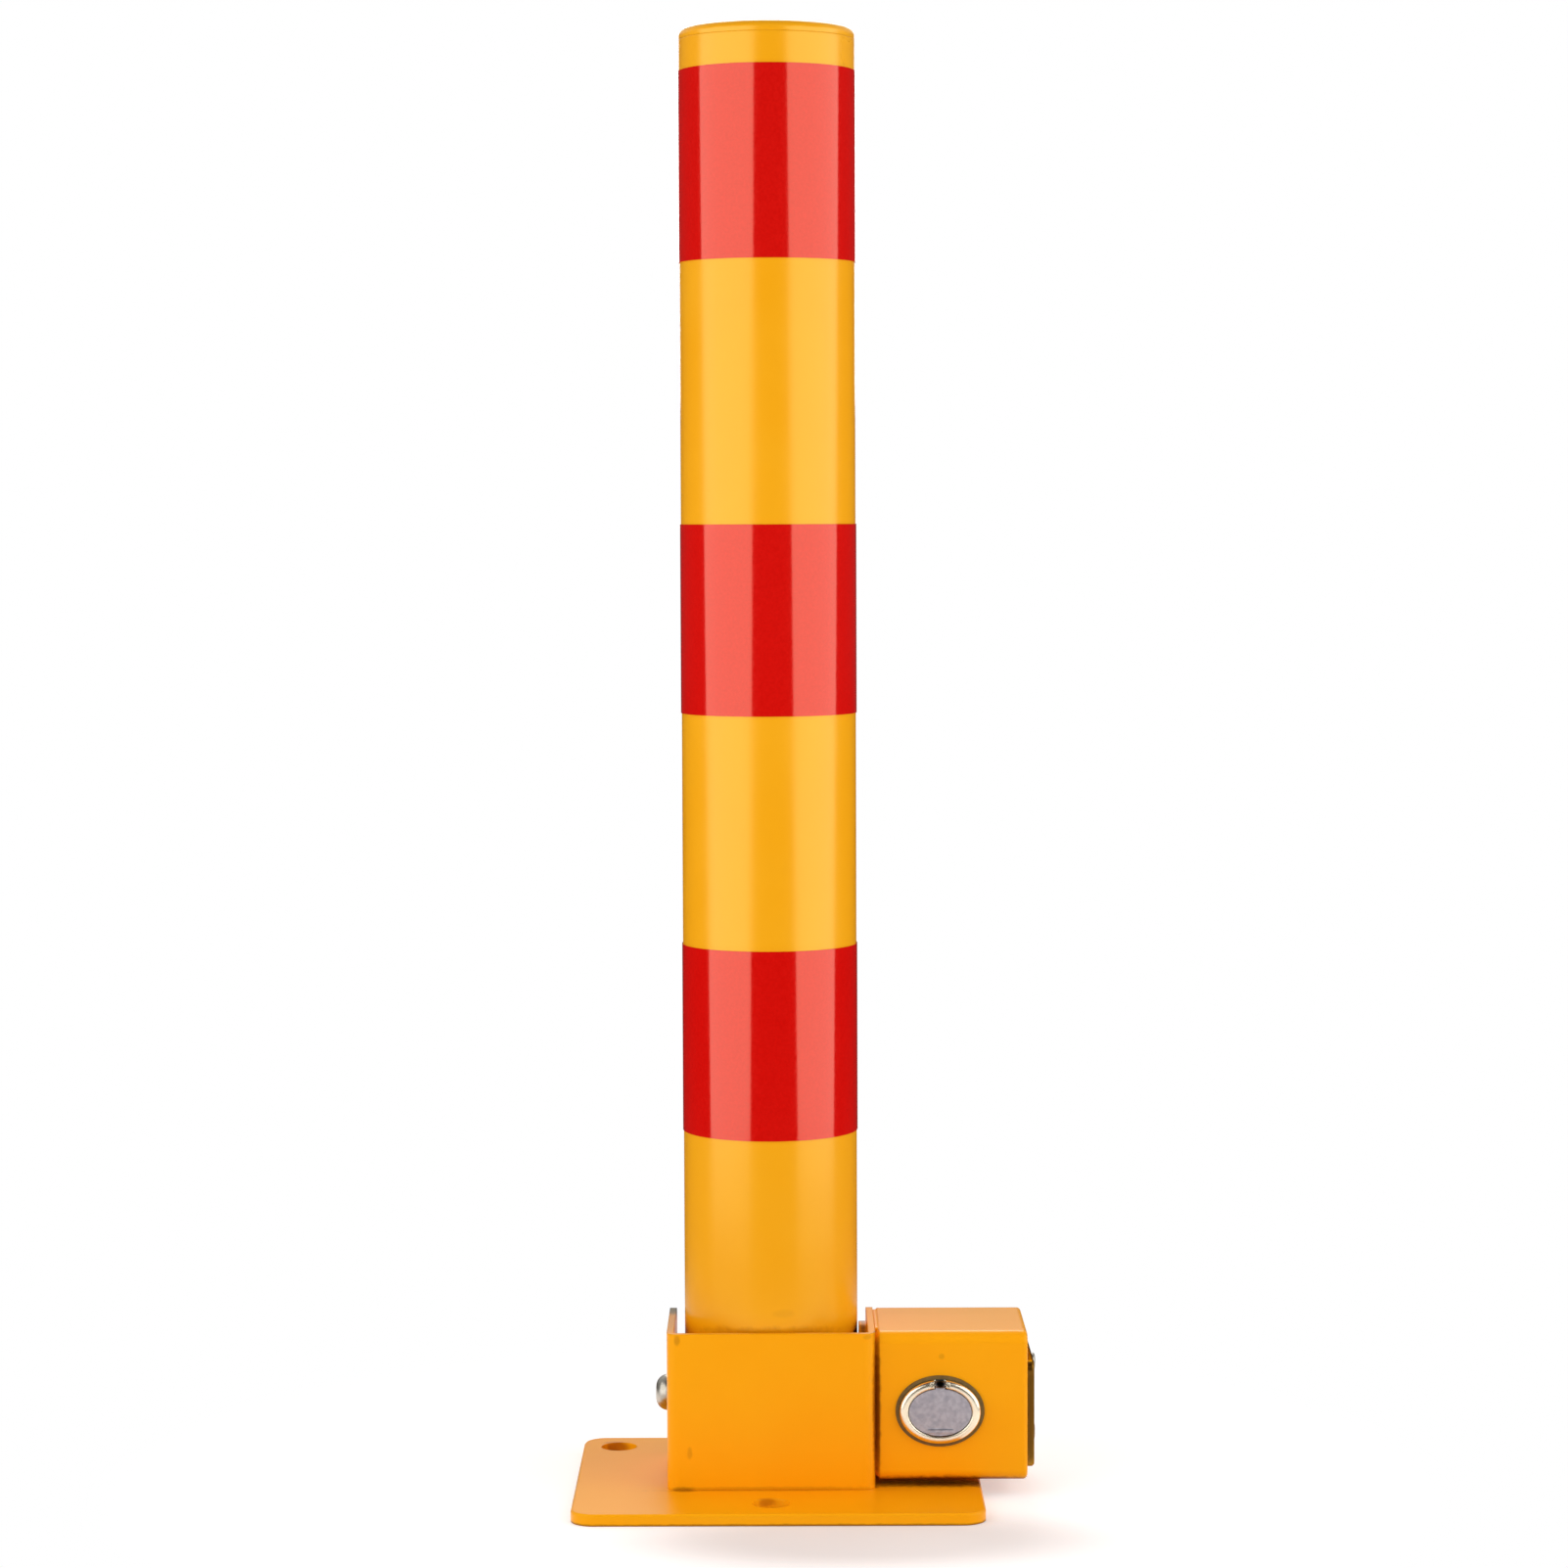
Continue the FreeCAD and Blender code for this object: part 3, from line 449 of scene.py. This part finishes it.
# %% Coat the foot
FOOT_BLOTS = [
    # Painted shade in the crease along the panel's foot, and dirt at its left end
    ((0, -43, 5.4), (70, 3, 1.5), 0.32, "#a85c04"),
    ((-38, -43.5, 5.2), (7, 3, 2), 0.5, "#8a4604"),
    # Painted shade along the plate's lower edge, where it meets the floor, and along its left edge
    ((0, 0, 0), (260, 260, 1.3), 0.7, "#7d4a08"),
    ((-85.6, -20, 3), (1.6, 90, 7), 0.6, "#8a6a1c"),
    # A chip low on the panel, a darker spot at each of its upper corners, and a chip above the lock
    ((-35.2, -42.5, 21.1), (1.5, 2, 3.6), 0.32, "#b06a08"),
    ((-40.5, -42, 70.5), (1.8, 3, 3), 0.4, "#9a5c0c"),
    ((41.5, -42, 71.5), (2.5, 3, 1.5), 0.25, "#9a6a10"),
    ((73.7, -37.5, 62), (1.6, 2, 1.6), 0.35, "#b87808"),
    # Painted shade on the top of the left cheek, darkest at its back end and lighter along its edge
    ((-43.5, 18, 73), (5, 22, 6), 1.0, "#2c2c18"),
    ((-43.5, -8, 73), (3, 40, 2.5), 0.45, "#8c7440"),
    # Painted shade in the seam between bracket and housing, and under the housing's lower front edge
    ((45.5, -38.5, 40), (2.6, 6, 48), 0.8, "#7a2a04"),
    ((76, -33, 7), (60, 9, 3.8), 0.9, "#6a1c02"),
    # A painted highlight down the panel's right bend
    ((43.4, -43.8, 40), (1.6, 2.6, 48), 0.5, "#ffb469"),
    # Painted shade on the collar of the deadbolt and the cheek round it, in the gap beside the post
    ((40.3, -8, 62), (3.2, 20, 13.5), 1.0, "#3c0b02"),
    # Painted shade on the far walls of the left rear hole and of the front hole
    ((-71, 48, 3), (9, 4, 3.5), 0.6, "#9c3c06"),
    ((-3, -58, 3.5), (7, 3, 2.5), 0.5, "#b04a04"),
]
foot_coat = powder_coat("powder_coat_foot_orange", "#fca90a", "#fba406", roughness=(0.28, 0.36), specular=0.3,
                        shine="#fff096", blots=FOOT_BLOTS)

# %% [markdown]
# ## Red reflective film
# The bands are sheeting with tiny glass beads under a clear skin. From a step away that is a deep red with a
# sharp gloss, and close up a fine grain. The beads are about 0.1 mm, too fine to show, so the grain is drawn
# ten times as coarse. Their mirror backing makes the film a little metallic.

# %% Make the film
GRAIN_MM = 1.1
GRAIN_DEPTH_MM = 0.004
GRAIN_STRENGTH = 0.5
FILM_DARK = "#da0502"
FILM_LIGHT = "#e40a05"
FILM_SHINE = "#fff5d4"
FILM_ROUGHNESS = (0.07, 0.14)
FILM_METALLIC = 0.08

film = empty_material("bead_film_red")
place = add_node(film, "TexCoord").outputs["Object"]
grain = add_node(film, "TexNoise", {"Vector": place, "Scale": per_metre(GRAIN_MM), "Detail": 3.0})
tone = add_node(film, "MapRange", {
    "Value": grain.outputs["Fac"], "From Min": NOISE_LOW, "From Max": NOISE_HIGH,
})
dye = add_node(film, "MixRGB", {
    "Fac": tone.outputs[0], "Color1": srgb(FILM_DARK), "Color2": srgb(FILM_LIGHT),
})
gloss = add_node(film, "MapRange", {
    "Value": grain.outputs["Fac"], "From Min": NOISE_LOW, "From Max": NOISE_HIGH,
    "To Min": FILM_ROUGHNESS[0], "To Max": FILM_ROUGHNESS[1],
})
bump = add_node(film, "Bump", {
    "Height": grain.outputs["Fac"], "Distance": GRAIN_DEPTH_MM * MM, "Strength": GRAIN_STRENGTH,
})
red_film = surface(film, {
    "Base Color": dye.outputs[0],
    "Roughness": gloss.outputs[0],
    "Normal": bump.outputs[0],
    "Specular IOR Level": 1.0,
    "Specular Tint": srgb(FILM_SHINE),
    "Metallic": FILM_METALLIC,
})

# %% [markdown]
# ## Metals
# The lock's ring is chrome over polished zinc: almost a mirror, with soft edges. The flap over the keyway is
# satin steel, blasted to a mottle of a couple of millimetres. Painted shade darkens the flap's hinge and the
# top of the ring where the hinge sits in its notch. Bolts, nuts and cam are zinc plated and a little cloudy,
# the plate on the housing's end has the brown-gold of yellow chromate with painted shade on its front edge,
# and the plug is turned brass.

# %% Define the plated metals
METAL_BUMP = 0.5


def plated_metal(name, light, dark, mottle_mm, roughness, bump_mm, edge_mm, blots=(), glance="#ffffff"):
    """Metal whose colour and gloss drift over a mottle of this size, with its edges rounded off.

    The colour called glance tints what it mirrors at a low angle.
    """
    material = empty_material(name)
    place = add_node(material, "TexCoord").outputs["Object"]
    mottle = add_node(material, "TexNoise", {"Vector": place, "Scale": per_metre(mottle_mm), "Detail": 4.0})
    tone = add_node(material, "MapRange", {
        "Value": mottle.outputs["Fac"], "From Min": TONE_LOW, "From Max": TONE_HIGH,
    })
    colour = add_node(material, "MixRGB", {
        "Fac": tone.outputs[0], "Color1": srgb(dark), "Color2": srgb(light),
    })
    gloss = add_node(material, "MapRange", {
        "Value": mottle.outputs["Fac"], "From Min": NOISE_LOW, "From Max": NOISE_HIGH,
        "To Min": roughness[0], "To Max": roughness[1],
    })
    edge = add_node(material, "Bevel", {"Radius": edge_mm * MM}, samples=EDGE_SAMPLES)
    bump = add_node(material, "Bump", {
        "Height": mottle.outputs["Fac"], "Distance": bump_mm * MM, "Strength": METAL_BUMP,
        "Normal": edge.outputs[0],
    })
    return surface(material, {
        "Base Color": blotted(material, colour.outputs[0], blots),
        "Roughness": gloss.outputs[0],
        "Normal": bump.outputs[0],
        "Metallic": 1.0,
        "Specular Tint": srgb(glance),
    })


print("a metal's mottle is raised by", METAL_BUMP, "of its depth")

# %% Make the metals
# Painted shade: a dark notch where the flap's hinge sits, and the end cover's darker front edge
NOTCH_SHADE = [((73, -40.3, 50.6), (4, 4, 2.6), 1.0, "#0c0906")]
COVER_EDGE_SHADE = [((112.5, -36, 36), (5, 4, 45), 0.75, "#4a2e0a")]
chrome = plated_metal("chrome_plate_polished", "#fff5de", "#f4e7c9", mottle_mm=9, roughness=(0.17, 0.25),
                      bump_mm=0.002, edge_mm=1.3, blots=NOTCH_SHADE)
satin = plated_metal("satin_steel_blasted", "#c9c8d1", "#abaab5", mottle_mm=2.2, roughness=(0.34, 0.5),
                     bump_mm=0.03, edge_mm=0.3, blots=NOTCH_SHADE)
zinc = plated_metal("zinc_plate_bright", "#cfcabf", "#aaa496", mottle_mm=3.5, roughness=(0.26, 0.4),
                    bump_mm=0.006, edge_mm=0.3)
yellow_zinc = plated_metal("zinc_plate_yellow_chromate", "#c69640", "#b07c30", mottle_mm=22,
                           roughness=(0.3, 0.42), bump_mm=0.006, edge_mm=0.5, blots=COVER_EDGE_SHADE,
                           glance="#a87830")
brass = plated_metal("brass_turned", "#d8b25a", "#bf9440", mottle_mm=2.5, roughness=(0.2, 0.32),
                     bump_mm=0.006, edge_mm=0.2)

# %% [markdown]
# ## Black rubber
# The seal round the lock is moulded rubber, dull and brown. Its brown is partly the rubber's own and partly
# painted shade, which draws the soft shadow line round the ring.

# %% Make the rubber
DUST_MM = 1.5
DUST_DEPTH_MM = 0.03
DUST_STRENGTH = 0.5
# The seal's brown: partly the rubber's colour, partly painted shade for the shadow line round the ring
SEAL_AND_SHADE_DARK = "#5a431a"
SEAL_AND_SHADE_LIGHT = "#84682e"
RUBBER_ROUGHNESS = 0.75

seal = empty_material("moulded_rubber_black")
place = add_node(seal, "TexCoord").outputs["Object"]
dust = add_node(seal, "TexNoise", {"Vector": place, "Scale": per_metre(DUST_MM), "Detail": 3.0})
tone = add_node(seal, "MixRGB", {
    "Fac": dust.outputs["Fac"], "Color1": srgb(SEAL_AND_SHADE_DARK), "Color2": srgb(SEAL_AND_SHADE_LIGHT),
})
bump = add_node(seal, "Bump", {
    "Height": dust.outputs["Fac"], "Distance": DUST_DEPTH_MM * MM, "Strength": DUST_STRENGTH,
})
rubber = surface(seal, {
    "Base Color": tone.outputs[0],
    "Roughness": RUBBER_ROUGHNESS,
    "Normal": bump.outputs[0],
})

# %% [markdown]
# ## Dress the construction
# Nearly every node of the frame already has the right shape, so it only needs its finish. The cover's screws
# get theirs too, and are replaced further down.

# %% Give each node its finish
BANDS = ["reflective_band_top", "reflective_band_middle", "reflective_band_bottom"]
FINISHES = [
    (foot_coat, ["base_plate", "hinge_bracket", "lock_housing", "cover_tabs", "bolt_guide", "bolt_collar"]),
    (post_coat, ["post_tube", "post_cap"]),
    (red_film, BANDS),
    (zinc, ["hinge_bolt", "hinge_washer", "hinge_nut", "hinge_sleeve", "end_cover_screws"]),
    (zinc, ["lock_nut", "key_cover_pin", "lock_cam", "cam_screw", "deadbolt"]),
    (yellow_zinc, ["end_cover"]),
    (chrome, ["lock_body"]),
    (rubber, ["lock_gasket"]),
    (satin, ["key_cover"]),
    (brass, ["lock_plug"]),
]
for finish, names in FINISHES:
    for name in names:
        for material_slot in nodes[name].material_slots:
            material_slot.material = finish
print("finished", sum(len(names) for finish, names in FINISHES), "of", len(nodes), "nodes")

# %% [markdown]
# ## Weld beads
# The bracket is welded to the plate along the inside of its cheeks and its panel, and the housing's bevelled
# end is welded to the right cheek along its top and its back. A hand weld is a row of overlapping drops. A
# rod that is cut into rings, with every other ring swollen, gives that ripple; a little randomness takes away
# the lathe look, and a subdivision surface melts it together. Paint covers it, so it takes the foot's coat.

# %% Define how a piece is picked at and finished
SMOOTH_BELOW = math.radians(40)


def pick_vertices(piece, wanted):
    """Selects the vertices of the piece in edit mode whose place passes the test."""
    bpy.ops.mesh.select_mode(type="VERT")
    bpy.ops.mesh.select_all(action="DESELECT")
    mesh = bmesh.from_edit_mesh(piece.data)
    for vertex in mesh.verts:
        vertex.select_set(wanted(vertex.co))
    mesh.select_flush_mode()
    bmesh.update_edit_mesh(piece.data)


def finish_piece(piece, finish, body):
    """Puts a piece's place into its mesh, gives it its finish and hangs it on a body of the frame."""
    bpy.ops.object.select_all(action="DESELECT")
    piece.select_set(True)
    bpy.context.view_layer.objects.active = piece
    bpy.ops.object.transform_apply(location=True, rotation=True, scale=True)
    bpy.ops.object.shade_smooth_by_angle(angle=SMOOTH_BELOW)
    piece.data.materials.clear()
    piece.data.materials.append(finish)
    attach(piece, body)


print("faces that meet below", round(math.degrees(SMOOTH_BELOW)), "degrees are smoothed")

# %% Define a weld bead
RIPPLE = 2.2 * MM
SWELL = 1.25
TAPER = 0.6
BEAD_SIDES = 10
WANDER = 0.16 * MM
WANDER_SEED = 7


def weld_bead(name, start, end, radius):
    """Run of painted weld between two points."""
    run = Vector(end) - Vector(start)
    drops = 2 * round(run.length / (2 * RIPPLE)) + 1
    bpy.ops.object.select_all(action="DESELECT")
    bpy.ops.mesh.primitive_cylinder_add(vertices=BEAD_SIDES, radius=radius, depth=run.length)
    bead = bpy.context.object
    bead.name = name
    bpy.ops.object.mode_set(mode="EDIT")
    bpy.ops.mesh.select_mode(type="EDGE")
    bpy.ops.mesh.select_all(action="DESELECT")
    mesh = bmesh.from_edit_mesh(bead.data)
    for edge in mesh.edges:
        edge.select_set(abs(edge.verts[0].co.z - edge.verts[1].co.z) > run.length / 2)
    bmesh.update_edit_mesh(bead.data)
    bpy.ops.mesh.subdivide(number_cuts=drops - 1)
    pick_vertices(bead, lambda place: round((place.z / run.length + 0.5) * drops) % 2 == 1)
    bpy.ops.transform.resize(value=(SWELL, SWELL, 1), center_override=(0, 0, 0))
    pick_vertices(bead, lambda place: abs(abs(place.z) - run.length / 2) < RIPPLE / 4)
    bpy.ops.transform.resize(value=(TAPER, TAPER, 1), center_override=(0, 0, 0))
    bpy.ops.mesh.select_all(action="SELECT")
    bpy.ops.transform.vertex_random(offset=WANDER, seed=WANDER_SEED)
    bpy.ops.object.mode_set(mode="OBJECT")
    melt = bead.modifiers.new("melt", "SUBSURF")
    melt.levels = 1
    melt.render_levels = 1
    bpy.ops.object.modifier_apply(modifier=melt.name)
    bead.location = (Vector(start) + Vector(end)) / 2
    bead.rotation_euler = run.to_track_quat("Z", "Y").to_euler()
    finish_piece(bead, foot_coat, "base")
    print(name, "has", drops, "drops in", round(run.length / MM, 1), "mm")


print("a weld has a drop about every", round(RIPPLE / MM, 1), "mm")

# %% Weld the bracket to the plate
BRACKET_SHEET = 3 * MM
FOOT_BEAD = 2.2 * MM
FOOT_BEAD_OUT = FOOT_BEAD / 3
BEAD_INSET = 5 * MM
BACK_INSET = 1 * MM

bracket_low, bracket_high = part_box("hinge_bracket")
cheek_in = bracket_high.x - BRACKET_SHEET
panel_in = bracket_low.y + BRACKET_SHEET
foot = bracket_low.z + FOOT_BEAD_OUT
for name, side in (("weld_bead_left_cheek", -1), ("weld_bead_right_cheek", 1)):
    inner = side * (cheek_in - FOOT_BEAD_OUT)
    weld_bead(name, (inner, panel_in + BEAD_INSET, foot),
              (inner, bracket_high.y - BACK_INSET, foot), FOOT_BEAD)
weld_bead("weld_bead_panel", (-cheek_in + BEAD_INSET, panel_in + FOOT_BEAD_OUT, foot),
          (cheek_in - BEAD_INSET, panel_in + FOOT_BEAD_OUT, foot), FOOT_BEAD)

# %% Weld the housing to the cheek
HOUSING_BEAD = 1.8 * MM

housing_low, housing_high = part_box("lock_housing")
seam = housing_low.x + HOUSING_BEAD / 2
top = housing_high.z - HOUSING_BEAD
back = housing_high.y - HOUSING_BEAD
weld_bead("weld_bead_housing_top", (seam, housing_low.y + 2 * BEAD_INSET, top),
          (seam, housing_high.y - BEAD_INSET, top), HOUSING_BEAD)
weld_bead("weld_bead_housing_back", (seam, back, housing_low.z + BEAD_INSET),
          (seam, back, housing_high.z - BEAD_INSET), HOUSING_BEAD)

# %% [markdown]
# ## Cover screws
# Two pan head screws hold the end cover. The construction has plain heads; a real one is domed and has a
# cross recess for the driver. It starts as a cylinder: the rim is bevelled round, the foot is inset and
# pulled out into the shank, and a cross of two bars is cut from the head. It is modelled once and copied.

# %% Shape one screw
HEAD_SIDES = 32
HEAD_DOME = 1.1 * MM
DOME_STEPS = 5
SHANK_RADIUS = 2.0 * MM

screw_low, screw_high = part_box("end_cover_screws")
head_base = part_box("end_cover")[1].x
head_radius = (screw_high.y - screw_low.y) / 2
head_high = screw_high.x - head_base
shank_long = head_base - screw_low.x
bpy.ops.object.select_all(action="DESELECT")
bpy.ops.mesh.primitive_cylinder_add(vertices=HEAD_SIDES, radius=head_radius, depth=head_high,
                                    location=(0, 0, head_high / 2))
screw = bpy.context.object
screw.name = "cover_screws_cross_recess"
bpy.ops.object.transform_apply(location=True, rotation=True, scale=True)
bpy.ops.object.mode_set(mode="EDIT")
pick_vertices(screw, lambda place: place.z > head_high / 2)
bpy.ops.mesh.bevel(offset=HEAD_DOME, segments=DOME_STEPS, affect="EDGES")
pick_vertices(screw, lambda place: place.z < MM / 100)
bpy.ops.mesh.inset(thickness=head_radius - SHANK_RADIUS)
bpy.ops.mesh.extrude_region_move(TRANSFORM_OT_translate={"value": (0, 0, -shank_long)})
bpy.ops.object.mode_set(mode="OBJECT")
print("one screw,", round(2 * head_radius / MM, 1), "mm across the head")

# %% Cut the cross recess
RECESS_LONG = 4.2 * MM
RECESS_WIDE = 0.95 * MM
RECESS_DEEP = 1.1 * MM

for turn in (0, math.pi / 2):
    bpy.ops.object.select_all(action="DESELECT")
    bpy.ops.mesh.primitive_cube_add(size=1, location=(0, 0, head_high), rotation=(0, 0, turn))
    bar = bpy.context.object
    bar.scale = (RECESS_LONG, RECESS_WIDE, 2 * RECESS_DEEP)
    bpy.ops.object.transform_apply(location=True, rotation=True, scale=True)
    cut = screw.modifiers.new("cross", "BOOLEAN")
    cut.operation = "DIFFERENCE"
    cut.object = bar
    bpy.context.view_layer.objects.active = screw
    bpy.ops.object.modifier_apply(modifier=cut.name)
    bpy.data.objects.remove(bar)
print("the recess is", round(RECESS_DEEP / MM, 1), "mm deep")

# %% Copy the screw and seat both
LOWER_TURN = 0.5
UPPER_TURN = 1.2

upper = screw.copy()
upper.data = screw.data.copy()
bpy.context.scene.collection.objects.link(upper)
row = (screw_low.y + screw_high.y) / 2
lower_seat = (screw, screw_low.z + head_radius, LOWER_TURN)
upper_seat = (upper, screw_high.z - head_radius, UPPER_TURN)
for piece, height, turn in (lower_seat, upper_seat):
    facing = Matrix.Rotation(math.pi / 2, 3, "Y") @ Matrix.Rotation(turn, 3, "Z")
    piece.rotation_euler = facing.to_euler()
    piece.location = (head_base, row, height)
bpy.ops.object.select_all(action="DESELECT")
upper.select_set(True)
screw.select_set(True)
bpy.context.view_layer.objects.active = screw
bpy.ops.object.join()
finish_piece(screw, zinc, "base")
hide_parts("end_cover_screws")
print("two screws,", round((upper_seat[1] - lower_seat[1]) / MM, 1), "mm apart")

# %% [markdown]
# ## Film overlaps
# Each band is one strip of film wrapped round the post, and its end laps over its start at the back.
# The lap is a second skin on the first: an upright edge is spun a little way about the post's axis and
# thickened outwards, once, and copied to the other two bands.

# %% Spin one lap
LAP_WIDE = 14 * MM
LAP_THICK = 0.22 * MM
LAP_STEPS = 10

film_low, film_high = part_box(BANDS[0])
film_radius = film_high.x
film_wide = film_high.z - film_low.z
bpy.ops.object.select_all(action="DESELECT")
bpy.ops.mesh.primitive_plane_add(size=film_wide, rotation=(math.pi / 2, 0, 0))
lap = bpy.context.object
lap.name = "film_lap_top"
bpy.ops.object.transform_apply(location=True, rotation=True, scale=True)
bpy.ops.object.mode_set(mode="EDIT")
pick_vertices(lap, lambda place: place.x < 0)
bpy.ops.mesh.delete(type="VERT")
bpy.ops.mesh.select_all(action="SELECT")
bpy.ops.transform.translate(value=(film_radius - film_wide / 2, 0, 0))
bpy.ops.mesh.spin(steps=LAP_STEPS, angle=LAP_WIDE / film_radius, center=(0, 0, 0), axis=(0, 0, 1))
bpy.ops.mesh.select_all(action="SELECT")
bpy.ops.mesh.remove_doubles(threshold=MM / 1000)
bpy.ops.mesh.normals_make_consistent(inside=False)
bpy.ops.object.mode_set(mode="OBJECT")
outward = lap.data.polygons[0].normal.dot(lap.data.polygons[0].center) > 0
skin = lap.modifiers.new("skin", "SOLIDIFY")
skin.thickness = LAP_THICK
skin.offset = 1 if outward else -1
bpy.ops.object.modifier_apply(modifier=skin.name)
print("one lap,", round(LAP_WIDE / MM), "mm wide and", round(film_wide / MM), "mm high")

# %% Lap the films
LAP_STARTS = math.pi / 2 + 0.35

lap.rotation_euler = (0, 0, LAP_STARTS)
laps = [lap]
for name in BANDS[1:]:
    copy = lap.copy()
    copy.data = lap.data.copy()
    copy.name = name.replace("reflective_band", "film_lap")
    bpy.context.scene.collection.objects.link(copy)
    laps.append(copy)
for piece, name in zip(laps, BANDS):
    low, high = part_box(name)
    piece.location = (0, 0, (low.z + high.z) / 2)
    finish_piece(piece, red_film, "post")
print("lapped", len(laps), "bands")
